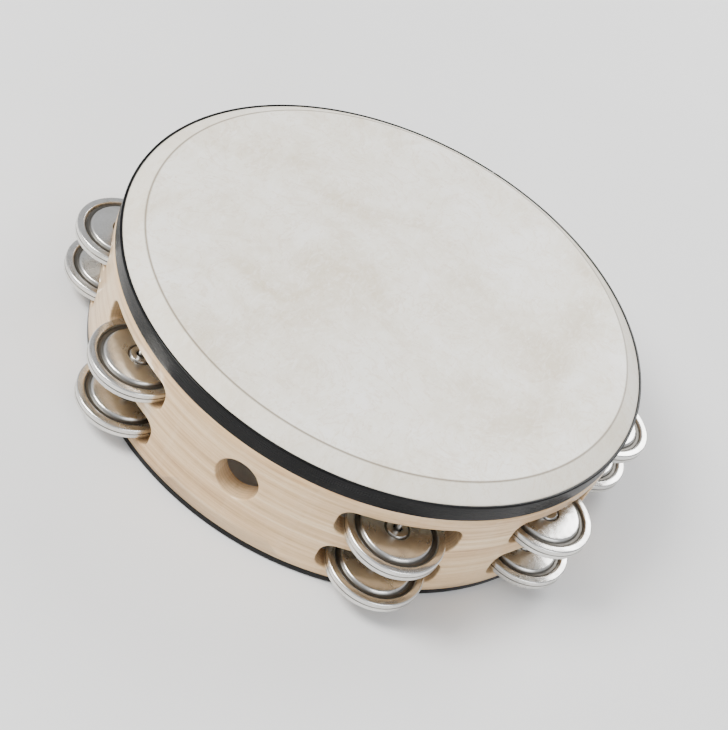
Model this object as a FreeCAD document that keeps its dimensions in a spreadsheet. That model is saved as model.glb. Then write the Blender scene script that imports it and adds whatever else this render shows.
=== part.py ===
"""A tambourine: a bent-wood shell with a skin head and eighteen jingle slots.

The origin is the centre of the bottom rim's face. +Z points up to the head,
and the finger hole faces -Y. Azimuths are counted from -Y towards +X.
Lengths are in millimetres and angles in degrees.
"""
import FreeCAD, Part
import math
import os
import Sketcher
from FreeCAD import Placement, Rotation, Vector

DRIVING = {
    # shell and rims
    "shell_radius": 127.0,
    "wall": 10.5,
    "rim_edge": 62.0,
    "rim_top": 66.0,
    "bearing_land": 0.5,
    "bevel_angle": 29.5,
    "skin": 0.5,
    "band_high": 8.6,
    "band_thick": 1.2,
    "band_chamfer": 0.4,
    "binding_high": 3.5,
    "binding_chamfer": 0.6,
    # slots, finger hole and stations
    "slot_long": 54.0,
    "slot_high": 15.0,
    "slot_corner": 5.5,
    "lower_slot_floor": 8.0,
    "upper_slot_floor": 31.0,
    "cutter_reach": 140.0,
    "hole_radius": 10.0,
    "hole_height": 33.0,
    "first_station": 32.0,
    "station_pitch": 37.0,
    "station_count": 9,
    # jingle pins
    "pin_radius": 1.3,
    "pin_head_radius": 2.4,
    "pin_head_high": 0.8,
    "pin_top": 50.5,
    # jingles, measured from the free edge of the lip
    "jingle_radius": 22.0,
    "jingle_sheet": 0.6,
    "jingle_hole": 2.0,
    "boss_radius": 5.2,
    "boss_high": 3.6,
    "plateau_radius": 15.6,
    "plateau_high": 3.15,
    "groove_inner": 16.4,
    "groove_outer": 18.3,
    "groove_high": 1.7,
    "flange_inner": 19.1,
    "flange_high": 2.75,
    "lip_corner": 0.7,
}

document = FreeCAD.newDocument("tambourine")


def make_sheet():
    """Write every driving dimension to its own named cell."""
    cells = document.addObject("Spreadsheet::Sheet", "dims")
    for row, (name, value) in enumerate(DRIVING.items(), start=1):
        cells.set(f"A{row}", name)
        cells.set(f"B{row}", str(value))
        cells.setAlias(f"B{row}", name)
    document.recompute()
    return cells


dims = make_sheet()

INNER_RADIUS = "(dims.shell_radius - dims.wall)"
MID_RADIUS = "(dims.shell_radius - dims.wall / 2)"
BAND_BOTTOM = "(dims.rim_edge - dims.band_high)"
BAND_INNER = "(dims.shell_radius - dims.band_thick)"
REBATE_RADIUS = "(dims.shell_radius - dims.band_thick - dims.skin)"
LAND_RADIUS = "(dims.shell_radius - dims.wall + dims.bearing_land)"
BEVEL_FOOT = f"(dims.rim_top - ({REBATE_RADIUS} - {LAND_RADIUS}) * tan(dims.bevel_angle))"


def value_of(expression):
    """The number that an expression on the sheet gives."""
    return float(dims.evalExpression(expression))


def origin_feature(body, role):
    """The plane or axis of a body's own origin that has this role."""
    return next(item for item in body.Origin.OriginFeatures if item.Role == role)


def new_body(label):
    body = document.addObject("PartDesign::Body", label)
    body.Label = label
    return body


def new_sketch(body, name, plane_role):
    sketch = body.newObject("Sketcher::SketchObject", f"{body.Name}_{name}")
    sketch.AttachmentSupport = [(origin_feature(body, plane_role), "")]
    sketch.MapMode = "FlatFace"
    return sketch


def turn_to_first_station(sketch, local_axis):
    """Turn a sketch about the vertical axis, from the finger hole to station 1."""
    sketch.AttachmentOffset = Placement(Vector(), Rotation(local_axis, 1.0))
    sketch.setExpression("AttachmentOffset.Rotation.Angle", "dims.first_station")


def constrain(sketch, expression, *constraint):
    """Add a sketch dimension and bind it to an expression on the sheet."""
    index = sketch.addConstraint(Sketcher.Constraint(*constraint, value_of(expression)))
    sketch.setExpression(f"Constraints[{index}]", expression)


def draw_outline(sketch, corners):
    """Draw a closed outline of straight lines through corners given as expressions."""
    points = [Vector(value_of(across), value_of(up), 0) for across, up in corners]
    count = len(points)
    for index in range(count):
        line = Part.LineSegment(points[index], points[(index + 1) % count])
        sketch.addGeometry(line, False)
    for index in range(count):
        joined = Sketcher.Constraint("Coincident", index, 2, (index + 1) % count, 1)
        sketch.addConstraint(joined)
    for index, (across, up) in enumerate(corners):
        constrain(sketch, across, "DistanceX", index, 1)
        constrain(sketch, up, "DistanceY", index, 1)


def draw_rounded_slot(sketch, floor):
    """Draw one slot outline, centred across, with its floor at a height expression."""
    half = value_of("dims.slot_long / 2")
    low = value_of(floor)
    high = value_of(f"{floor} + dims.slot_high")
    corner = value_of("dims.slot_corner")
    left_top = Vector(-half + corner, high, 0)
    sides = [
        (Vector(-half + corner, low, 0), Vector(half - corner, low, 0)),
        (Vector(half, low + corner, 0), Vector(half, high - corner, 0)),
        (Vector(half - corner, high, 0), left_top),
        (Vector(-half, high - corner, 0), Vector(-half, low + corner, 0)),
    ]
    centres = [
        (Vector(half - corner, low + corner, 0), 270),
        (Vector(half - corner, high - corner, 0), 0),
        (Vector(-half + corner, high - corner, 0), 90),
        (Vector(-half + corner, low + corner, 0), 180),
    ]
    lines = [sketch.addGeometry(Part.LineSegment(*side), False) for side in sides]
    arcs = []
    for centre, start in centres:
        circle = Part.Circle(centre, Vector(0, 0, 1), corner)
        quarter = Part.ArcOfCircle(circle, math.radians(start), math.radians(start + 90))
        arcs.append(sketch.addGeometry(quarter, False))
    for index in range(4):
        following = lines[(index + 1) % 4]
        sketch.addConstraint(Sketcher.Constraint("Tangent", lines[index], 2, arcs[index], 1))
        sketch.addConstraint(Sketcher.Constraint("Tangent", arcs[index], 2, following, 1))
    for index in (0, 2):
        sketch.addConstraint(Sketcher.Constraint("Horizontal", lines[index]))
        sketch.addConstraint(Sketcher.Constraint("Vertical", lines[index + 1]))
    for arc in arcs[1:]:
        sketch.addConstraint(Sketcher.Constraint("Equal", arcs[0], arc))
    constrain(sketch, "dims.slot_corner", "Radius", arcs[0])
    constrain(sketch, floor, "DistanceY", lines[0], 1)
    constrain(sketch, "dims.slot_long / 2", "DistanceX", lines[1], 1)
    constrain(sketch, f"{floor} + dims.slot_high", "DistanceY", lines[2], 1)
    constrain(sketch, "-dims.slot_long / 2", "DistanceX", lines[3], 1)


def draw_circle(sketch, across, up, radius):
    """Draw one circle, its centre and radius given as expressions."""
    centre = Vector(value_of(across), value_of(up), 0)
    circle = Part.Circle(centre, Vector(0, 0, 1), value_of(radius))
    index = sketch.addGeometry(circle, False)
    constrain(sketch, across, "DistanceX", index, 3)
    constrain(sketch, up, "DistanceY", index, 3)
    constrain(sketch, radius, "Radius", index)


def revolve(body, corners):
    """Turn an outline of (radius, height) corners once round the body's Z axis."""
    sketch = new_sketch(body, "profile", "XZ_Plane")
    draw_outline(sketch, corners)
    turned = body.newObject("PartDesign::Revolution", f"{body.Name}_turned")
    turned.Profile = sketch
    turned.ReferenceAxis = (sketch, ["V_Axis"])
    turned.Angle = 360
    document.recompute()
    return body


def pocket(body, sketch, length):
    """Cut a sketch along its own normal, to a length expression."""
    before = body.Shape.Volume
    cut = body.newObject("PartDesign::Pocket", f"{sketch.Name}_cut")
    cut.Profile = sketch
    cut.Type = 0
    cut.setExpression("Length", length)
    cut.Reversed = True
    document.recompute()
    if not cut.Shape.Volume < before:
        raise RuntimeError(f"{cut.Name} removed nothing")
    return cut


def repeat_at_stations(body, feature):
    """Repeat a cut at every station, round the body's own vertical axis."""
    pattern = body.newObject("PartDesign::PolarPattern", f"{feature.Name}_stations")
    pattern.Originals = [feature]
    pattern.Axis = (origin_feature(body, "Z_Axis"), [""])
    pattern.setExpression("Angle", "dims.station_pitch * (dims.station_count - 1)")
    pattern.setExpression("Occurrences", "dims.station_count")
    body.Tip = pattern
    document.recompute()


def make_shell():
    """The laminated wooden ring, rebated for the skin and the trim band."""
    body = new_body("shell")
    revolve(body, [
        (INNER_RADIUS, "dims.binding_high"),
        ("dims.shell_radius", "dims.binding_high"),
        ("dims.shell_radius", BAND_BOTTOM),
        (REBATE_RADIUS, BAND_BOTTOM),
        (REBATE_RADIUS, BEVEL_FOOT),
        (LAND_RADIUS, "dims.rim_top"),
        (INNER_RADIUS, "dims.rim_top"),
    ])

    slots = new_sketch(body, "slots", "XZ_Plane")
    turn_to_first_station(slots, Vector(0, 1, 0))
    draw_rounded_slot(slots, "dims.lower_slot_floor")
    draw_rounded_slot(slots, "dims.upper_slot_floor")
    repeat_at_stations(body, pocket(body, slots, "dims.cutter_reach"))

    bore = new_sketch(body, "pin_bore", "XY_Plane")
    turn_to_first_station(bore, Vector(0, 0, 1))
    draw_circle(bore, "0", f"-{MID_RADIUS}", "dims.pin_radius")
    repeat_at_stations(body, pocket(body, bore, "dims.pin_top"))

    seat = new_sketch(body, "pin_head_seat", "XY_Plane")
    turn_to_first_station(seat, Vector(0, 0, 1))
    draw_circle(seat, "0", f"-{MID_RADIUS}", "dims.pin_head_radius")
    repeat_at_stations(body, pocket(body, seat, "dims.binding_high + dims.pin_head_high"))

    hole = new_sketch(body, "finger_hole", "XZ_Plane")
    draw_circle(hole, "0", "dims.hole_height", "dims.hole_radius")
    pocket(body, hole, "dims.cutter_reach")
    return body


def make_bottom_binding():
    """The black ring glued under the shell, which the tambourine stands on."""
    inner_face = f"{INNER_RADIUS} + dims.binding_chamfer"
    outer_face = "dims.shell_radius - dims.binding_chamfer"
    return revolve(new_body("bottom_binding"), [
        (inner_face, "0"),
        (outer_face, "0"),
        ("dims.shell_radius", "dims.binding_chamfer"),
        ("dims.shell_radius", "dims.binding_high"),
        (INNER_RADIUS, "dims.binding_high"),
        (INNER_RADIUS, "dims.binding_chamfer"),
    ])


def make_head_skin():
    """The skin: flat over the shell, down the bevel and under the trim band."""
    fold = "dims.skin * tan(dims.bevel_angle / 2)"
    outer_foot = f"{BEVEL_FOOT} + dims.skin * (1 / cos(dims.bevel_angle) - tan(dims.bevel_angle))"
    return revolve(new_body("head_skin"), [
        ("0", "dims.rim_top"),
        (LAND_RADIUS, "dims.rim_top"),
        (REBATE_RADIUS, BEVEL_FOOT),
        (REBATE_RADIUS, BAND_BOTTOM),
        (BAND_INNER, BAND_BOTTOM),
        (BAND_INNER, outer_foot),
        (f"{LAND_RADIUS} + {fold}", "dims.rim_top + dims.skin"),
        ("0", "dims.rim_top + dims.skin"),
    ])


def make_trim_band():
    """The black band glued over the skin's cut edge, flush with the shell."""
    return revolve(new_body("trim_band"), [
        (BAND_INNER, BAND_BOTTOM),
        ("dims.shell_radius", BAND_BOTTOM),
        ("dims.shell_radius", "dims.rim_edge - dims.band_chamfer"),
        ("dims.shell_radius - dims.band_chamfer", "dims.rim_edge"),
        (BAND_INNER, "dims.rim_edge"),
    ])


def put_at_station(body, station, height):
    """Place a body on the pin circle at a station, its origin at a height."""
    azimuth = f"(dims.first_station + dims.station_pitch * {station - 1})"
    body.setExpression("Placement.Base.x", f"{MID_RADIUS} * sin({azimuth})")
    body.setExpression("Placement.Base.y", f"-{MID_RADIUS} * cos({azimuth})")
    body.setExpression("Placement.Base.z", height)


def make_pin(station):
    """A headed steel pin, driven up through both slots of a station."""
    body = revolve(new_body(f"jingle_pin_{station}"), [
        ("0", "dims.binding_high"),
        ("dims.pin_head_radius", "dims.binding_high"),
        ("dims.pin_head_radius", "dims.binding_high + dims.pin_head_high"),
        ("dims.pin_radius", "dims.binding_high + dims.pin_head_high"),
        ("dims.pin_radius", "dims.pin_top"),
        ("0", "dims.pin_top"),
    ])
    put_at_station(body, station, "0")
    return body


def make_jingle(label, station, lip_height, lip_up):
    """A pressed sheet-metal dish, with its lip's free edge at a height."""
    inside = "dims.jingle_radius - dims.jingle_sheet"
    body = revolve(new_body(label), [
        (inside, "0"),
        ("dims.jingle_radius", "0"),
        ("dims.jingle_radius", "dims.flange_high - dims.lip_corner"),
        ("dims.jingle_radius - dims.lip_corner", "dims.flange_high"),
        ("dims.flange_inner", "dims.flange_high"),
        ("dims.groove_outer", "dims.groove_high"),
        ("dims.groove_inner", "dims.groove_high"),
        ("dims.plateau_radius", "dims.plateau_high"),
        ("dims.boss_radius", "dims.plateau_high"),
        ("dims.boss_radius - dims.jingle_sheet", "dims.boss_high"),
        ("dims.jingle_hole", "dims.boss_high"),
        ("dims.jingle_hole", "dims.boss_high - dims.jingle_sheet"),
        ("dims.boss_radius - 2 * dims.jingle_sheet", "dims.boss_high - dims.jingle_sheet"),
        ("dims.boss_radius - dims.jingle_sheet", "dims.plateau_high - dims.jingle_sheet"),
        ("dims.plateau_radius - dims.jingle_sheet", "dims.plateau_high - dims.jingle_sheet"),
        ("dims.groove_inner - dims.jingle_sheet", "dims.groove_high - dims.jingle_sheet"),
        ("dims.groove_outer + dims.jingle_sheet", "dims.groove_high - dims.jingle_sheet"),
        ("dims.flange_inner + dims.jingle_sheet", "dims.flange_high - dims.jingle_sheet"),
        (inside, "dims.flange_high - dims.jingle_sheet"),
    ])
    if lip_up:
        body.Placement = Placement(Vector(), Rotation(Vector(1, 0, 0), 180))
    put_at_station(body, station, lip_height)
    return body


def make_jingle_pair(station, row):
    """Two facing jingles that lie on the floor of one slot, lip against lip."""
    meeting = f"dims.{row}_slot_floor + dims.boss_high"
    return [
        make_jingle(f"jingle_{station}_{row}_bottom", station, meeting, True),
        make_jingle(f"jingle_{station}_{row}_top", station, meeting, False),
    ]


def check(pieces):
    """Stop unless every object was rebuilt and every piece is one good solid."""
    for item in document.Objects:
        if "Invalid" in item.State or "Error" in item.State:
            raise RuntimeError(f"{item.Label} failed: {item.State}")
    for piece in pieces:
        shape = piece.Shape
        if shape.isNull() or not shape.isValid() or len(shape.Solids) != 1:
            raise RuntimeError(f"{piece.Label} has a bad shape")


def export(pieces):
    os.makedirs("parts", exist_ok=True)
    for piece in pieces:
        piece.Shape.exportStep(f"parts/{piece.Label}.step")
        print(f"{piece.Label:24s} {piece.Shape.Volume:12.1f} mm3")


def main():
    pieces = [make_shell(), make_bottom_binding(), make_head_skin(), make_trim_band()]
    for station in range(1, DRIVING["station_count"] + 1):
        pieces.append(make_pin(station))
        pieces += make_jingle_pair(station, "lower")
        pieces += make_jingle_pair(station, "upper")
    document.recompute()
    check(pieces)
    export(pieces)


main()
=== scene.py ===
"""A tambourine's looks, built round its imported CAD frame. Lengths are in metres."""

import math

import bmesh
import bpy
from mathutils import Matrix, Vector, noise


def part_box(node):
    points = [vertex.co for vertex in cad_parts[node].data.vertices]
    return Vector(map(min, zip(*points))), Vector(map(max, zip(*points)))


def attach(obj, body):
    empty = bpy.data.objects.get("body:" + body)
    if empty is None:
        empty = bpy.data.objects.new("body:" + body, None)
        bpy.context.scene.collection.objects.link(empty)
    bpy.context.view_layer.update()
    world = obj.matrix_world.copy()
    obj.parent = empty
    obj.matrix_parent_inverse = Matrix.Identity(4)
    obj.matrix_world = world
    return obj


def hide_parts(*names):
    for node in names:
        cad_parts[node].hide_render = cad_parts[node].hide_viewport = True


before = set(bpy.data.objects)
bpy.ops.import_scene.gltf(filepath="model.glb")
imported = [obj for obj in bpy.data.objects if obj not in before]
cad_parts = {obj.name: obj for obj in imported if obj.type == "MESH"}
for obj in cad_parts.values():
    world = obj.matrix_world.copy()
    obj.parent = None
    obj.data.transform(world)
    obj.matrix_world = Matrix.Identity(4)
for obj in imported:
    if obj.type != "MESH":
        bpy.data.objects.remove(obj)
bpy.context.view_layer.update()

MM = 0.001
FULL_TURN = 2 * math.pi
DRUM = "drum"
STATIONS = 9

# Sizes that the frame gives.
SHELL_LOW, SHELL_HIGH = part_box("shell")
BAND_LOW, BAND_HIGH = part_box("trim_band")
BINDING_LOW, BINDING_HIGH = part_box("bottom_binding")
SKIN_LOW, SKIN_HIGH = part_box("head_skin")
SHELL_RADIUS = SHELL_HIGH.x

# Sizes of the shell that no box gives.
WALL = 10.5 * MM
INNER_RADIUS = SHELL_RADIUS - WALL
LAND = 0.5 * MM
BAND_THICK = 1.2 * MM
SKIN_THICK = 0.5 * MM
REBATE_RADIUS = SHELL_RADIUS - BAND_THICK - SKIN_THICK
BEVEL_ANGLE = math.radians(29.5)
BEVEL_FOOT = SHELL_HIGH.z - (REBATE_RADIUS - INNER_RADIUS - LAND) * math.tan(BEVEL_ANGLE)
SLOT_HALF_LONG = 27.0 * MM
SLOT_HALF_HIGH = 7.5 * MM
SLOT_CORNER = 5.5 * MM
SLOT_MIDDLES = (15.5 * MM, 38.5 * MM)
SLOT_SPLIT = 27.0 * MM
FINGER_HOLE_RADIUS = 10.0 * MM
FINGER_HOLE_HEIGHT = 33.0 * MM
FIRST_STATION = math.radians(32)
STATION_PITCH = math.radians(37)
EASED_EDGE = 0.8 * MM
PLY = 1.5 * MM
SEAM = 0.35 * MM
PIN_RADIUS = 1.3 * MM
PIN_HEAD_HIGH = 0.8 * MM

# Sizes of a jingle, as radii from its middle.
JINGLE_RADIUS = 22.0 * MM
JINGLE_LIP = 21.2 * MM
JINGLE_GROOVE = 17.1 * MM
JINGLE_BOSS = 5.25 * MM
JINGLE_STILL = 6.5 * MM

# How finely turned pieces are divided round their axis.
DRUM_SEGMENTS = 288
JINGLE_SEGMENTS = 96
PIN_SEGMENTS = 28
GOLDEN_ANGLE = 2.399963


# ---------------------------------------------------------------- mesh helpers

def make_object(name, points, faces):
    """A smooth-shaded mesh object made from points and faces."""
    mesh = bpy.data.meshes.new(name)
    mesh.from_pydata([tuple(point) for point in points], [], faces)
    mesh.validate()
    mesh.shade_smooth()
    piece = bpy.data.objects.new(name, mesh)
    bpy.context.scene.collection.objects.link(piece)
    return piece


def tidy_mesh(piece, distance=1e-6):
    """Weld points that coincide and turn every face outwards."""
    work = bmesh.new()
    work.from_mesh(piece.data)
    bmesh.ops.remove_doubles(work, verts=work.verts, dist=distance)
    bmesh.ops.recalc_face_normals(work, faces=work.faces)
    work.to_mesh(piece.data)
    work.free()
    piece.data.shade_smooth()


def eased(corners, steps=4):
    """Round a closed outline of (across, up, radius) corners."""
    outline = []
    count = len(corners)
    for index, (across, up, radius) in enumerate(corners):
        here = Vector((across, up))
        if radius == 0:
            outline.append(here)
            continue
        before = Vector(corners[index - 1][:2]) - here
        after = Vector(corners[(index + 1) % count][:2]) - here
        start = here + before.normalized() * min(radius, before.length * 0.45)
        end = here + after.normalized() * min(radius, after.length * 0.45)
        for step in range(steps + 1):
            share = step / steps
            near = start.lerp(here, share)
            far = here.lerp(end, share)
            outline.append(near.lerp(far, share))
    return outline


def split_runs(outline, longest, closed=True):
    """Add points along an outline's runs that are longer than the longest allowed."""
    result = []
    count = len(outline)
    last = count if closed else count - 1
    for index in range(last):
        here = outline[index]
        following = outline[(index + 1) % count]
        parts = max(1, math.ceil((following - here).length / longest))
        for part in range(parts):
            result.append(here.lerp(following, part / parts))
    if not closed:
        result.append(outline[-1])
    return result


def turned(name, outline, segments, shape=None, opening=0.0, facing=0.0):
    """Turn a (radius, height) outline round Z, closed unless it starts and ends on the axis.

    shape(radius, height, angle) gives a point its final radius and height.
    An opening angle leaves a gap, centred on the facing azimuth, with flat ends.
    """
    on_axis = outline[0].x == 0 and outline[-1].x == 0
    whole = opening == 0
    turns = segments if whole else segments + 1
    span = FULL_TURN - opening
    points = []
    for turn in range(turns):
        angle = facing + opening / 2 + span * turn / segments
        for place in outline:
            radius, height = place
            if shape:
                radius, height = shape(radius, height, angle)
            points.append((radius * math.sin(angle), -radius * math.cos(angle), height))
    size = len(outline)
    faces = []
    for turn in range(segments):
        this = turn * size
        other = ((turn + 1) % turns) * size
        for index in range(size - 1 if on_axis else size):
            following = (index + 1) % size
            faces.append((this + index, other + index, other + following, this + following))
    if not whole:
        faces.append(tuple(range(size)))
        faces.append(tuple(range((turns - 1) * size, turns * size)))
    piece = make_object(name, points, faces)
    tidy_mesh(piece)
    return piece


def store_vectors(piece, name, vectors):
    """Keep one vector for each point, for a material to read."""
    attribute = piece.data.attributes.new(name, "FLOAT_VECTOR", "POINT")
    attribute.data.foreach_set("vector", [part for vector in vectors for part in vector])


def wobble(angle, height, seed, cycles):
    """A smooth value of about -1 to 1 that closes on itself round the drum."""
    place = Vector((math.sin(angle) * cycles, math.cos(angle) * cycles, height + seed * 7.3))
    return noise.noise(place)


# ---------------------------------------------------------------- shader helpers

class Shader:
    """One procedural material, with short calls for its nodes."""

    def __init__(self, name):
        self.material = bpy.data.materials.new(name)
        self.material.use_nodes = True
        self.tree = self.material.node_tree
        self.surface = self.tree.nodes["Principled BSDF"]

    def node(self, kind, **settings):
        made = self.tree.nodes.new(kind)
        for key, value in settings.items():
            setattr(made, key, value)
        return made

    def link(self, source, target):
        self.tree.links.new(source, target)

    def place(self):
        """Object coordinates, in metres."""
        return self.node("ShaderNodeTexCoord").outputs["Object"]

    def stored(self, name):
        return self.node("ShaderNodeAttribute", attribute_name=name).outputs["Vector"]

    def scaled(self, vector, scale):
        mapping = self.node("ShaderNodeMapping")
        mapping.inputs["Scale"].default_value = scale
        self.link(vector, mapping.inputs["Vector"])
        return mapping.outputs["Vector"]

    def noise(self, vector, scale, detail=4.0, roughness=0.55, distortion=0.0):
        made = self.node("ShaderNodeTexNoise")
        made.inputs["Scale"].default_value = scale
        made.inputs["Detail"].default_value = detail
        made.inputs["Roughness"].default_value = roughness
        made.inputs["Distortion"].default_value = distortion
        self.link(vector, made.inputs["Vector"])
        return made.outputs["Fac"]

    def math(self, operation, first, second=None, third=None):
        made = self.node("ShaderNodeMath", operation=operation)
        for index, value in enumerate((first, second, third)):
            if value is None:
                continue
            if isinstance(value, (int, float)):
                made.inputs[index].default_value = value
            else:
                self.link(value, made.inputs[index])
        return made.outputs[0]

    def ramp(self, factor, *stops):
        """A colour ramp through (position, colour) stops."""
        made = self.node("ShaderNodeValToRGB")
        elements = made.color_ramp.elements
        while len(elements) < len(stops):
            elements.new(0.5)
        for element, (position, colour) in zip(elements, stops):
            element.position = position
            element.color = (*colour, 1.0)
        self.link(factor, made.inputs["Fac"])
        return made.outputs["Color"]

    def range(self, value, low, high, to_low, to_high):
        made = self.node("ShaderNodeMapRange")
        numbers = (low, high, to_low, to_high)
        for name, number in zip(("From Min", "From Max", "To Min", "To Max"), numbers):
            made.inputs[name].default_value = number
        self.link(value, made.inputs["Value"])
        return made.outputs["Result"]

    def mix(self, factor, first, second, blend="MIX"):
        made = self.node("ShaderNodeMix", data_type="RGBA", blend_type=blend)
        for socket, value in ((made.inputs[0], factor), (made.inputs[6], first), (made.inputs[7], second)):
            if isinstance(value, tuple):
                socket.default_value = (*value, 1.0)
            elif isinstance(value, (int, float)):
                socket.default_value = value
            else:
                self.link(value, socket)
        return made.outputs[2]

    def radius_of(self, vector):
        """Distance from the Z axis."""
        flat = self.scaled(vector, (1, 1, 0))
        made = self.node("ShaderNodeVectorMath", operation="LENGTH")
        self.link(flat, made.inputs[0])
        return made.outputs["Value"]

    def part_of(self, vector, axis):
        split = self.node("ShaderNodeSeparateXYZ")
        self.link(vector, split.inputs[0])
        return split.outputs[axis]

    def bump(self, height, strength, distance, normal=None):
        made = self.node("ShaderNodeBump")
        made.inputs["Strength"].default_value = strength
        made.inputs["Distance"].default_value = distance
        self.link(height, made.inputs["Height"])
        if normal is not None:
            self.link(normal, made.inputs["Normal"])
        return made.outputs["Normal"]

    def finish(self, colour, roughness, normal, **fixed):
        """Connect the surface; fixed gives constant inputs, by name with underscores."""
        self.link(colour, self.surface.inputs["Base Color"])
        self.link(roughness, self.surface.inputs["Roughness"])
        self.link(normal, self.surface.inputs["Normal"])
        for name, value in fixed.items():
            self.surface.inputs[name.replace("_", " ")].default_value = value
        return self.material


# ---------------------------------------------------------------- materials

def wood_material():
    """Pale bent maple: long grain round the shell, with plies on every cut face."""
    shader = Shader("lacquered_maple")
    place = shader.place()
    radius = shader.radius_of(place)

    drift = shader.noise(shader.scaled(place, (14, 14, 60)), 1.0, 3.0)
    fibres = shader.noise(shader.scaled(place, (14, 14, 620)), 1.0, 6.0, 0.7, 0.3)
    bands = shader.noise(shader.scaled(place, (7, 7, 150)), 1.0, 4.0, 0.55, 0.5)
    figure = shader.noise(shader.scaled(place, (170, 170, 14)), 1.0, 3.0, 0.5, 0.4)
    pores = shader.noise(shader.scaled(place, (240, 240, 5200)), 1.0, 2.0, 0.6)

    ply_place = shader.math("DIVIDE", shader.math("SUBTRACT", radius, INNER_RADIUS), PLY)
    ply_share = shader.math("FRACT", ply_place)
    ply_index = shader.math("FLOOR", ply_place)
    ply_turn = shader.math("FRACT", shader.math("MULTIPLY", ply_index, 0.5))
    glue_reach = shader.math("ABSOLUTE", shader.math("SUBTRACT", ply_share, 0.5))
    glue = shader.range(glue_reach, 0.43, 0.49, 0.0, 1.0)

    figured = shader.math("MULTIPLY_ADD", bands, 0.55, shader.math("MULTIPLY", fibres, 0.45))
    colour = shader.ramp(
        figured,
        (0.37, (0.40, 0.225, 0.095)),
        (0.46, (0.60, 0.385, 0.19)),
        (0.54, (0.73, 0.515, 0.285)),
        (0.64, (0.82, 0.635, 0.395)),
    )
    colour = shader.mix(shader.range(drift, 0.35, 0.7, 0.0, 0.35), colour, (0.74, 0.53, 0.30))
    colour = shader.mix(shader.range(figure, 0.5, 0.75, 0.0, 0.14), colour, (0.88, 0.73, 0.52))
    colour = shader.mix(shader.range(pores, 0.58, 0.70, 0.0, 0.45), colour, (0.36, 0.21, 0.095))
    # Cut faces in the slots, finger hole and shell edges are darkened. This is partly the real darker tone
    # of cut end grain and partly painted shade inside the slots and the finger hole.
    from_outside = shader.math("SUBTRACT", SHELL_RADIUS, radius)
    from_inside = shader.math("SUBTRACT", radius, INNER_RADIUS)
    into_wood = shader.math("MINIMUM", from_outside, from_inside)
    cut = shader.range(into_wood, 0.15 * MM, 0.9 * MM, 0.0, 1.0)
    colour = shader.mix(shader.math("MULTIPLY", cut, 0.42), colour, (0.46, 0.315, 0.185))
    cut_ply = shader.math("MULTIPLY", ply_turn, shader.math("MULTIPLY", cut, 0.5))
    colour = shader.mix(cut_ply, colour, (0.50, 0.355, 0.215))
    cut_glue = shader.math("MULTIPLY", glue, shader.math("MULTIPLY", cut, 0.7))
    colour = shader.mix(cut_glue, colour, (0.21, 0.135, 0.08))

    handled = shader.noise(place, 22.0, 4.0)
    roughness = shader.range(handled, 0.3, 0.75, 0.26, 0.44)
    grain_normal = shader.bump(fibres, 0.16, 0.0004)
    normal = shader.bump(pores, 0.12, 0.0002, grain_normal)
    return shader.finish(
        colour, roughness, normal,
        Coat_Weight=0.35, Coat_Roughness=0.12, Specular_IOR_Level=0.45,
    )


def skin_material():
    """Off-white skin: cloudy, faintly veined, and warmer where wood lies under it."""
    shader = Shader("calf_skin")
    place = shader.place()
    radius = shader.radius_of(place)
    clouds = shader.noise(place, 17.0, 5.0, 0.6, 0.7)
    fibres = shader.noise(shader.scaled(place, (260, 95, 120)), 1.0, 5.0, 0.7, 1.4)
    specks = shader.noise(place, 900.0, 2.0, 0.5)
    mottle = shader.noise(place, 62.0, 6.0, 0.68, 0.9)
    pores = shader.noise(place, 620.0, 3.0, 0.6)
    veins = shader.noise(place, 34.0, 6.0, 0.62, 2.2)
    vein_line = shader.math("ABSOLUTE", shader.math("SUBTRACT", veins, 0.5))

    colour = shader.ramp(
        clouds,
        (0.34, (0.70, 0.62, 0.48)),
        (0.48, (0.83, 0.78, 0.67)),
        (0.66, (0.91, 0.88, 0.81)),
    )
    colour = shader.mix(shader.range(fibres, 0.48, 0.66, 0.0, 0.55), colour, (0.95, 0.92, 0.86))
    colour = shader.mix(shader.range(mottle, 0.50, 0.68, 0.0, 0.38), colour, (0.71, 0.63, 0.49))
    colour = shader.mix(shader.range(vein_line, 0.0, 0.020, 0.42, 0.0), colour, (0.64, 0.52, 0.37))
    colour = shader.mix(shader.range(pores, 0.60, 0.70, 0.0, 0.40), colour, (0.60, 0.50, 0.37))
    over_wood = shader.range(radius, INNER_RADIUS - 0.6 * MM, INNER_RADIUS + 1.2 * MM, 0.0, 0.34)
    colour = shader.mix(over_wood, colour, (0.80, 0.72, 0.57))
    # Painted shade: a dark line along the crease where the skin bends over the bearing edge.
    edge = shader.math("ABSOLUTE", shader.math("SUBTRACT", radius, INNER_RADIUS + LAND))
    crease_painted_shade = shader.range(edge, 0.15 * MM, 0.75 * MM, 0.85, 0.0)
    colour = shader.mix(crease_painted_shade, colour, (0.20, 0.16, 0.11))

    roughness = shader.range(clouds, 0.3, 0.72, 0.50, 0.38)
    cloudy_normal = shader.bump(fibres, 0.10, 0.0003)
    normal = shader.bump(specks, 0.10, 0.0001, cloudy_normal)
    return shader.finish(
        colour, roughness, normal,
        Subsurface_Weight=0.12, Subsurface_Scale=0.002, Subsurface_Radius=(1.0, 0.9, 0.75),
        Coat_Weight=0.08, Coat_Roughness=0.35, Specular_IOR_Level=0.4,
    )


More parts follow.
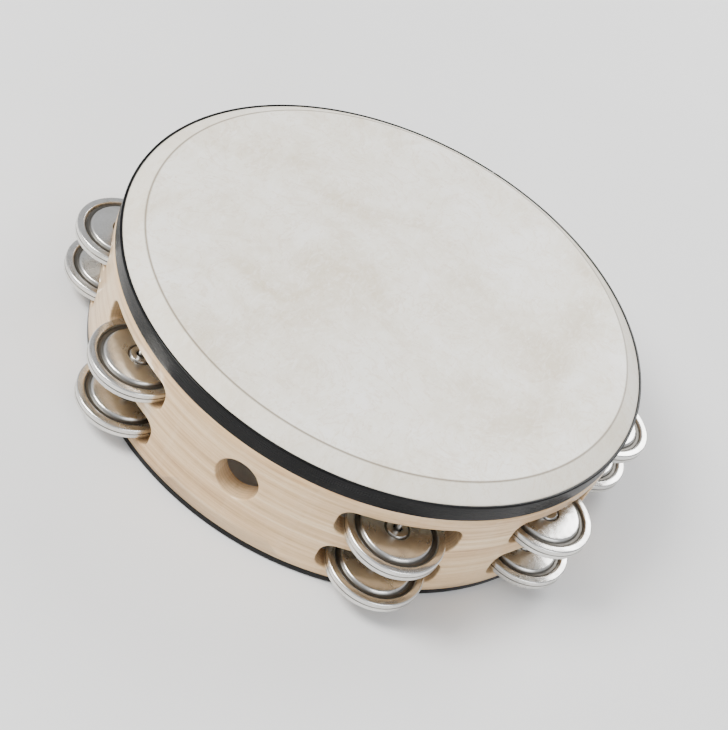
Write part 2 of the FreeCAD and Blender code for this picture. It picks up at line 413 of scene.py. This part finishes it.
def black_material():
    """Polished black celluloid with fine rub marks and dust-worn edges."""
    shader = Shader("black_celluloid")
    place = shader.place()
    clouds = shader.noise(place, 45.0, 4.0)
    rubs = shader.noise(shader.scaled(place, (30, 30, 2600)), 1.0, 4.0, 0.6, 0.4)
    specks = shader.noise(place, 1500.0, 2.0, 0.5)
    colour = shader.ramp(
        clouds,
        (0.35, (0.0022, 0.0022, 0.0025)),
        (0.70, (0.006, 0.006, 0.0062)),
    )
    colour = shader.mix(shader.range(rubs, 0.64, 0.78, 0.0, 0.22), colour, (0.035, 0.034, 0.033))
    colour = shader.mix(shader.range(specks, 0.68, 0.76, 0.0, 0.25), colour, (0.07, 0.07, 0.068))
    roughness = shader.range(rubs, 0.35, 0.75, 0.20, 0.42)
    normal = shader.bump(rubs, 0.10, 0.0002)
    return shader.finish(colour, roughness, normal, Specular_IOR_Level=0.14, Coat_Weight=0.0)


def jingle_material():
    """Nickel-plated steel: spun rings, soft hammering, and painted shade in the groove, at the lip and
    round the boss.
    """
    shader = Shader("nickel_plate")
    local = shader.stored("local")
    seeded = shader.stored("seeded")
    radius = shader.radius_of(local)
    ring_place = shader.node("ShaderNodeCombineXYZ")
    shader.link(shader.math("MULTIPLY", radius, 5200.0), ring_place.inputs[0])
    shader.link(shader.part_of(seeded, 2), ring_place.inputs[1])
    rings = shader.noise(ring_place.outputs[0], 1.0, 4.0, 0.65)
    clouds = shader.noise(seeded, 95.0, 5.0, 0.6, 0.5)
    stains = shader.noise(seeded, 260.0, 5.0, 0.7, 1.2)
    rubs = shader.noise(shader.scaled(seeded, (1500, 130, 400)), 1.0, 4.0, 0.6, 0.6)

    colour = shader.ramp(
        clouds,
        (0.30, (0.60, 0.585, 0.55)),
        (0.52, (0.74, 0.73, 0.70)),
        (0.75, (0.83, 0.82, 0.80)),
    )
    colour = shader.mix(shader.range(rings, 0.50, 0.75, 0.0, 0.25), colour, (0.46, 0.45, 0.42))
    # Painted shade: the groove between plateau and flange is made nearly black. The same mask also
    # roughens the groove.
    groove = shader.math("ABSOLUTE", shader.math("SUBTRACT", radius, JINGLE_GROOVE))
    painted_groove_shade = shader.range(groove, 0.95 * MM, 1.6 * MM, 0.92, 0.0)
    colour = shader.mix(painted_groove_shade, colour, (0.075, 0.068, 0.056))
    # Painted shade: a dark line at the lip, where the two jingles of a pair meet.
    from_lip = shader.math("ABSOLUTE", shader.part_of(local, 2))
    lip_painted_shade = shader.range(from_lip, 0.15 * MM, 0.5 * MM, 0.88, 0.0)
    colour = shader.mix(lip_painted_shade, colour, (0.09, 0.08, 0.065))
    # Painted shade: a dark ring at the foot of the boss.
    boss_edge = shader.math("ABSOLUTE", shader.math("SUBTRACT", radius, JINGLE_BOSS))
    boss_painted_shade = shader.range(boss_edge, 0.3 * MM, 0.7 * MM, 0.85, 0.0)
    colour = shader.mix(boss_painted_shade, colour, (0.10, 0.09, 0.075))
    worn_hole = shader.range(radius, 2.2 * MM, 3.2 * MM, 0.65, 0.0)
    colour = shader.mix(worn_hole, colour, (0.30, 0.27, 0.22))
    spots = shader.range(stains, 0.63, 0.72, 0.0, 0.38)
    colour = shader.mix(spots, colour, (0.34, 0.29, 0.22))

    rough_clouds = shader.range(clouds, 0.3, 0.75, 0.30, 0.20)
    roughness = shader.math("ADD", rough_clouds, shader.math("MULTIPLY", painted_groove_shade, 0.20))
    ring_normal = shader.bump(rings, 0.22, 0.00006)
    normal = shader.bump(rubs, 0.08, 0.00008, ring_normal)
    return shader.finish(colour, roughness, normal, Metallic=1.0)


def pin_material():
    """Drawn steel wire, dull and a little stained."""
    shader = Shader("drawn_steel")
    place = shader.place()
    lines = shader.noise(shader.scaled(place, (5200, 5200, 60)), 1.0, 3.0, 0.6)
    stains = shader.noise(place, 320.0, 4.0, 0.65)
    colour = shader.ramp(
        stains,
        (0.35, (0.33, 0.31, 0.28)),
        (0.60, (0.56, 0.55, 0.53)),
    )
    colour = shader.mix(shader.range(lines, 0.5, 0.75, 0.0, 0.4), colour, (0.70, 0.69, 0.67))
    roughness = shader.range(stains, 0.3, 0.7, 0.42, 0.26)
    normal = shader.bump(lines, 0.25, 0.00005)
    return shader.finish(colour, roughness, normal, Metallic=1.0)


def floor_material():
    """A plain pale floor, matt, with a trace of unevenness."""
    shader = Shader("pale_floor")
    place = shader.place()
    clouds = shader.noise(place, 6.0, 3.0)
    colour = shader.ramp(clouds, (0.3, (0.80, 0.80, 0.795)), (0.7, (0.83, 0.83, 0.825)))
    roughness = shader.range(clouds, 0.3, 0.7, 0.75, 0.85)
    normal = shader.bump(shader.noise(place, 700.0, 2.0), 0.03, 0.0003)
    return shader.finish(colour, roughness, normal)


# ---------------------------------------------------------------- shell

ACROSS_STEPS = 26
UP_STEPS = 10
CORNER_STEPS = 6
BLEND_STEPS = 3
EDGE_STEPS = 4


def on_wall(azimuth, across, height, radius):
    """A point on the cylinder of a radius, at a distance across a station's plane."""
    outward = Vector((math.sin(azimuth), -math.cos(azimuth), 0))
    sideways = Vector((math.cos(azimuth), math.sin(azimuth), 0))
    depth = math.sqrt(radius * radius - across * across)
    return outward * depth + sideways * across + Vector((0, 0, height))


def rectangle_loop(half_angle, heights, radius):
    """The outline of one cell of the wall, as (across, height) pairs."""
    low, high = heights[0], heights[-1]
    steps = [-1 + 2 * step / ACROSS_STEPS for step in range(ACROSS_STEPS)]
    loop = [(radius * math.sin(half_angle * share), low) for share in steps]
    loop += [(radius * math.sin(half_angle), height) for height in heights[:-1]]
    loop += [(-radius * math.sin(half_angle * share), high) for share in steps]
    loop += [(-radius * math.sin(half_angle), height) for height in heights[:0:-1]]
    return loop


def slot_loop(middle, grow):
    """A slot's outline, grown outwards by a little, as (across, height) pairs."""
    corner = SLOT_CORNER + grow
    half_long = SLOT_HALF_LONG - SLOT_CORNER
    half_high = SLOT_HALF_HIGH - SLOT_CORNER
    half_arc = CORNER_STEPS // 2
    loop = []
    centres = [(1, -1, -90), (1, 1, 0), (-1, 1, 90), (-1, -1, 180)]
    sides = [ACROSS_STEPS, UP_STEPS, ACROSS_STEPS, UP_STEPS]
    for index, (right, up, start) in enumerate(centres):
        before = centres[index - 1]
        first = Vector((before[0] * half_long, middle + before[1] * half_high))
        second = Vector((right * half_long, middle + up * half_high))
        facing = math.radians(start)
        straight = sides[index] - CORNER_STEPS
        for step in range(half_arc, CORNER_STEPS):
            angle = facing - math.pi / 2 * (1 - step / CORNER_STEPS)
            loop.append(first + corner * Vector((math.cos(angle), math.sin(angle))))
        out = corner * Vector((math.cos(facing), math.sin(facing)))
        for step in range(straight):
            loop.append(first.lerp(second, step / straight) + out)
        for step in range(half_arc):
            angle = facing + math.pi / 2 * step / CORNER_STEPS
            loop.append(second + corner * Vector((math.cos(angle), math.sin(angle))))
    return [tuple(place) for place in loop]


def hole_loop(grow, up_steps):
    """The finger hole's outline, matched point for point to its cell's outline."""
    loop = []
    for start, steps in ((-135, ACROSS_STEPS), (-45, up_steps), (45, ACROSS_STEPS), (135, up_steps)):
        for step in range(steps):
            angle = math.radians(start + 90 * step / steps)
            reach = FINGER_HOLE_RADIUS + grow
            loop.append((reach * math.cos(angle), FINGER_HOLE_HEIGHT + reach * math.sin(angle)))
    return loop


def spaced(low, high, steps):
    return [low + (high - low) * step / steps for step in range(steps + 1)]


def wall_cell(points, faces, azimuth, half_angle, heights, opening_loop):
    """One cell of the wall with an eased opening through it, added to points and faces."""
    rings = []
    for inward in (True, False):
        surface = INNER_RADIUS if inward else SHELL_RADIUS
        side = 1 if inward else -1
        frame_ring = rectangle_loop(half_angle, heights, surface)
        eased_ring = opening_loop(EASED_EDGE)
        flat_rings = []
        for step in range(BLEND_STEPS + 1):
            share = (step / BLEND_STEPS) ** 1.4
            ring = [
                (a[0] + (b[0] - a[0]) * share, a[1] + (b[1] - a[1]) * share)
                for a, b in zip(eased_ring, frame_ring)
            ]
            flat_rings.append((surface, ring))
        edge_rings = []
        for step in range(EDGE_STEPS):
            turn = math.pi / 2 * step / EDGE_STEPS
            radius = surface + side * EASED_EDGE * (1 - math.sin(turn))
            edge_rings.append((radius, opening_loop(EASED_EDGE * (1 - math.cos(turn)))))
        face_rings = edge_rings + flat_rings
        rings += face_rings[::-1] if inward else face_rings
    start = len(points)
    size = len(rings[0][1])
    for radius, ring in rings:
        points += [on_wall(azimuth, across, height, radius) for across, height in ring]
    for index in range(len(rings) - 1):
        for step in range(size):
            this = start + index * size
            other = this + size
            following = (step + 1) % size
            faces.append((this + step, this + following, other + following, other + step))


def make_shell():
    """The bent wooden ring with its slots, finger hole, rebate and bevelled top."""
    points = []
    faces = []
    low, high = SHELL_LOW.z, BAND_LOW.z
    half_pitch = STATION_PITCH / 2
    lower_heights = spaced(low, SLOT_SPLIT, UP_STEPS)
    upper_heights = spaced(SLOT_SPLIT, high, UP_STEPS)
    azimuths = [FIRST_STATION + STATION_PITCH * index for index in range(STATIONS)]
    for azimuth in azimuths:
        for heights, middle in zip((lower_heights, upper_heights), SLOT_MIDDLES):
            wall_cell(points, faces, azimuth, half_pitch, heights,
                      lambda grow, middle=middle: slot_loop(middle, grow))
    front_half = FIRST_STATION - half_pitch
    front_heights = lower_heights[:-1] + upper_heights
    wall_cell(points, faces, 0.0, front_half, front_heights,
              lambda grow: hole_loop(grow, 2 * UP_STEPS))

    angles = []
    for azimuth, half in [(0.0, front_half)] + [(azimuth, half_pitch) for azimuth in azimuths]:
        angles += [azimuth - half + 2 * half * step / ACROSS_STEPS for step in range(ACROSS_STEPS)]
    closing = [
        [(SHELL_RADIUS, high), (REBATE_RADIUS, high), (REBATE_RADIUS, BEVEL_FOOT),
         (INNER_RADIUS + LAND, SHELL_HIGH.z), (INNER_RADIUS, SHELL_HIGH.z), (INNER_RADIUS, high)],
        [(SHELL_RADIUS, low), (INNER_RADIUS, low)],
    ]
    for outline in closing:
        start = len(points)
        size = len(outline)
        for angle in angles:
            points += [(r * math.sin(angle), -r * math.cos(angle), z) for r, z in outline]
        for turn in range(len(angles)):
            this = start + turn * size
            other = start + (turn + 1) % len(angles) * size
            for index in range(size - 1):
                faces.append((this + index, other + index, other + index + 1, this + index + 1))
    shell = make_object("laminated_shell", points, faces)
    tidy_mesh(shell, 2e-6)
    return shell


# ---------------------------------------------------------------- skin and bands

def make_skin():
    """The stretched skin, with small pleats where it is pulled down the bevel."""
    top = SKIN_HIGH.z
    under = top - SKIN_THICK
    land = INNER_RADIUS + LAND
    collar = REBATE_RADIUS + SKIN_THICK
    outer_foot = BEVEL_FOOT + SKIN_THICK * (1 / math.cos(BEVEL_ANGLE) - math.tan(BEVEL_ANGLE))
    fold = SKIN_THICK * math.tan(BEVEL_ANGLE / 2)
    outline = eased([
        (0, under, 0),
        (land, under, 0.5 * MM),
        (REBATE_RADIUS, BEVEL_FOOT, 0.5 * MM),
        (REBATE_RADIUS, SKIN_LOW.z, 0),
        (collar, SKIN_LOW.z, 0),
        (collar, outer_foot, 0.6 * MM),
        (land + fold, top, 0.7 * MM),
        (0, top, 0),
    ], 5)
    outline = split_runs(outline, 2.6 * MM, closed=False)

    def shape(radius, height, angle):
        if radius > collar - 0.05 * MM or height < BEVEL_FOOT - 0.5 * MM:
            return radius, height
        if radius > land:
            share = (radius - land) / (collar - land)
            pleat = wobble(angle, 0.0, 5, 21.0) - 0.25
            return radius, height + pleat * 0.16 * MM * math.sin(math.pi * share)
        across, along = radius * math.sin(angle), radius * math.cos(angle)
        calm = min(1.0, (land - radius) / (10 * MM))
        relief = noise.noise(Vector((across * 26, along * 26, 3.0)))
        return radius, height + relief * 0.08 * MM * calm

    return turned("drum_skin", outline, DRUM_SEGMENTS, shape)


def make_worn_strip(name, corners, still_radius, seed):
    """A black strip round the drum, rubbed down outside a radius, with a butt joint at the back."""
    outline = split_runs(eased(corners, 5), 1.6 * MM)

    def shape(radius, height, angle):
        if radius < still_radius:
            return radius, height
        return radius - abs(wobble(angle, height * 90, seed, 9.0)) * 0.10 * MM, height

    return turned(name, outline, DRUM_SEGMENTS, shape, SEAM / SHELL_RADIUS, math.pi)


def make_band():
    """The black band over the skin's edge."""
    inner = SHELL_RADIUS - BAND_THICK
    return make_worn_strip("edge_band", [
        (inner, BAND_LOW.z, 0),
        (SHELL_RADIUS, BAND_LOW.z, 0.12 * MM),
        (SHELL_RADIUS, BAND_HIGH.z, 0.7 * MM),
        (inner, BAND_HIGH.z, 0.2 * MM),
    ], inner + 0.1 * MM, 11)


def make_binding():
    """The black binding under the shell."""
    return make_worn_strip("bottom_edge_binding", [
        (INNER_RADIUS, BINDING_LOW.z, 0.7 * MM),
        (SHELL_RADIUS, BINDING_LOW.z, 0.9 * MM),
        (SHELL_RADIUS, BINDING_HIGH.z, 0.12 * MM),
        (INNER_RADIUS, BINDING_HIGH.z, 0.12 * MM),
    ], SHELL_RADIUS - 0.1 * MM, 17)


# ---------------------------------------------------------------- pins and jingles

def make_pin(station):
    """A headed wire pin, a little off true like a driven one."""
    low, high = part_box(f"jingle_pin_{station}")
    middle = (low + high) / 2
    head = (high.x - low.x) / 2
    outline = eased([
        (0, 0.0, 0),
        (head, 0.0, 0.3 * MM),
        (head, PIN_HEAD_HIGH, 0.2 * MM),
        (PIN_RADIUS, PIN_HEAD_HIGH, 0.2 * MM),
        (PIN_RADIUS, high.z - low.z, 0.5 * MM),
        (0, high.z - low.z, 0),
    ], 3)
    outline = split_runs(outline, 2.0 * MM, closed=False)

    def shape(radius, height, angle):
        return radius * (1 + 0.03 * wobble(angle, height * 400, station, 1.5)), height

    pin = turned(f"steel_pin_{station}", outline, PIN_SEGMENTS, shape)
    pin.location = (middle.x, middle.y, low.z)
    return pin


def jingle_outline():
    """The pressed dish in section: boss, plateau, groove, flange and turned lip."""
    face = [
        (2.0, 3.60, 0.12), (4.7, 3.60, 0.35), (4.9, 2.95, 0.2), (5.5, 2.95, 0.2),
        (5.8, 3.22, 0.3), (10.0, 3.28, 3.0), (15.4, 3.12, 0.6), (16.3, 1.72, 0.5),
        (17.9, 1.72, 0.5), (18.8, 2.70, 0.5), (20.4, 2.75, 0.8), (22.0, 2.62, 0.9),
        (22.0, 0.0, 0.5),
    ]
    back = [
        (21.4, 0.0, 0.1), (21.4, 2.1, 0.5), (19.1, 2.1, 0.4), (18.2, 1.12, 0.5),
        (16.0, 1.12, 0.5), (15.1, 2.52, 0.6), (10.0, 2.68, 3.0), (6.2, 2.60, 0.3),
        (5.7, 2.35, 0.2), (4.6, 2.35, 0.2), (4.2, 3.00, 0.3), (2.0, 3.00, 0.12),
    ]
    corners = [(r * MM, z * MM, ease * MM) for r, z, ease in face + back]
    return split_runs(eased(corners, 4), 1.4 * MM)


def make_jingle(station, row, member, number):
    """One pressed jingle, hammered a little differently from its neighbours."""
    node = f"jingle_{station}_{row}_{member}"
    low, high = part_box(node)
    middle = (low + high) / 2

    def shape(radius, height, angle):
        if radius < JINGLE_STILL or radius > JINGLE_LIP:
            spread = radius * (1 + 0.0018 * wobble(angle, 0.0, number, 1.2))
            return min(spread, JINGLE_RADIUS), height
        calm = min(1.0, (radius - JINGLE_STILL) / (3 * MM))
        dent = wobble(angle, 0.0, number, radius * 260)
        return radius, height - abs(dent) * 0.13 * MM * calm

    piece = turned(f"cymbal_{station}_{row}_{member}", jingle_outline(), JINGLE_SEGMENTS, shape)
    piece.data.transform(Matrix.Rotation(number * GOLDEN_ANGLE, 4, "Z"))
    if member == "bottom":
        piece.data.transform(Matrix.Rotation(math.pi, 4, "X"))
        piece.location = (middle.x, middle.y, high.z)
    else:
        piece.location = (middle.x, middle.y, low.z)
    store_vectors(piece, "local", [point.co for point in piece.data.vertices])
    offset = Vector((0.31, 0.17, 0.23)) * number
    store_vectors(piece, "seeded", [point.co + offset for point in piece.data.vertices])
    return piece, node


# ---------------------------------------------------------------- assembly

def dress(piece, material, slot_name, body, *nodes):
    """Give a piece its material, and let it stand for its CAD nodes."""
    piece.data.materials.clear()
    piece.data.materials.append(material)
    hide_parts(*nodes)
    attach(piece, body)


def build_drum():
    black = black_material()
    dress(make_shell(), wood_material(), "shell_wood", DRUM, "shell")
    skin = make_skin()
    dress(skin, skin_material(), "skin", DRUM, "head_skin")
    dress(make_band(), black, "black_band", DRUM, "trim_band")
    dress(make_binding(), black, "black_binding", DRUM, "bottom_binding")
    steel = pin_material()
    for station in range(1, STATIONS + 1):
        dress(make_pin(station), steel, "pin_steel", DRUM, f"jingle_pin_{station}")


def build_jingles():
    nickel = jingle_material()
    number = 0
    for station in range(1, STATIONS + 1):
        for row in ("lower", "upper"):
            for member in ("bottom", "top"):
                number += 1
                piece, node = make_jingle(station, row, member, number)
                dress(piece, nickel, "jingle_metal", node, node)


# ---------------------------------------------------------------- stage

CAMERA_AZIMUTH = math.radians(8.6)
CAMERA_ELEVATION = math.radians(37.6)
CAMERA_ROLL = math.radians(28.4)
CAMERA_DISTANCE = 0.641
CAMERA_AIM = Vector((0.0052, -0.0596, 0.062))
CAMERA_LENS = 69.0


def make_camera():
    """The drawing's viewpoint: to the right of the hole, above, and rolled."""
    data = bpy.data.cameras.new("camera")
    data.lens = CAMERA_LENS
    data.sensor_width = 36.0
    camera = bpy.data.objects.new("camera", data)
    bpy.context.scene.collection.objects.link(camera)
    around = Matrix.Rotation(CAMERA_AZIMUTH, 3, "Z")
    stand = CAMERA_DISTANCE * Vector((0, -math.cos(CAMERA_ELEVATION), math.sin(CAMERA_ELEVATION)))
    aim = around @ Vector((CAMERA_AIM.x, CAMERA_AIM.y, 0)) + Vector((0, 0, CAMERA_AIM.z))
    eye = around @ stand + Vector((0, 0, CAMERA_AIM.z))
    camera.location = eye
    look = (aim - eye).to_track_quat("-Z", "Y")
    camera.rotation_mode = "QUATERNION"
    camera.rotation_quaternion = look @ Matrix.Rotation(CAMERA_ROLL, 3, "Z").to_quaternion()
    bpy.context.scene.camera = camera


def make_floor():
    size = 24.0
    bpy.ops.mesh.primitive_grid_add(x_subdivisions=8, y_subdivisions=8, size=size)
    floor = bpy.context.object
    floor.name = "floor"
    floor.location.z = -0.2 * MM
    floor.data.materials.append(floor_material())


def area_light(name, place, target, size, power, colour=(1, 1, 1)):
    data = bpy.data.lights.new(name, "AREA")
    data.shape = "DISK"
    data.size = size
    data.energy = power
    data.color = colour
    light = bpy.data.objects.new(name, data)
    bpy.context.scene.collection.objects.link(light)
    light.location = place
    light.rotation_mode = "QUATERNION"
    light.rotation_quaternion = (Vector(target) - Vector(place)).to_track_quat("-Z", "Y")


def make_light():
    """An even soft sun for the floor, a key, a fill and a back light, and a pale room."""
    middle = (0, 0, 0.03)
    sun_data = bpy.data.lights.new("sun", "SUN")
    sun_data.energy = 1.5
    sun_data.angle = math.radians(30)
    sun_data.color = (1.0, 0.985, 0.965)
    sun = bpy.data.objects.new("sun", sun_data)
    bpy.context.scene.collection.objects.link(sun)
    sun.rotation_mode = "QUATERNION"
    sun.rotation_quaternion = Vector((0.80, 0.50, -1.15)).to_track_quat("-Z", "Y")
    area_light("key", (-0.80, -0.50, 1.00), middle, 0.55, 20.0, (1.0, 0.985, 0.96))
    area_light("fill", (0.95, -0.75, 0.55), middle, 0.9, 8.0, (0.95, 0.97, 1.0))
    area_light("back", (0.25, 1.05, 0.75), middle, 0.7, 12.0)
    world = bpy.data.worlds.new("room")
    world.use_nodes = True
    background = world.node_tree.nodes["Background"]
    background.inputs["Color"].default_value = (0.95, 0.965, 1.0, 1.0)
    background.inputs["Strength"].default_value = 0.68
    bpy.context.scene.world = world


make_camera()
make_floor()
make_light()
build_drum()
build_jingles()
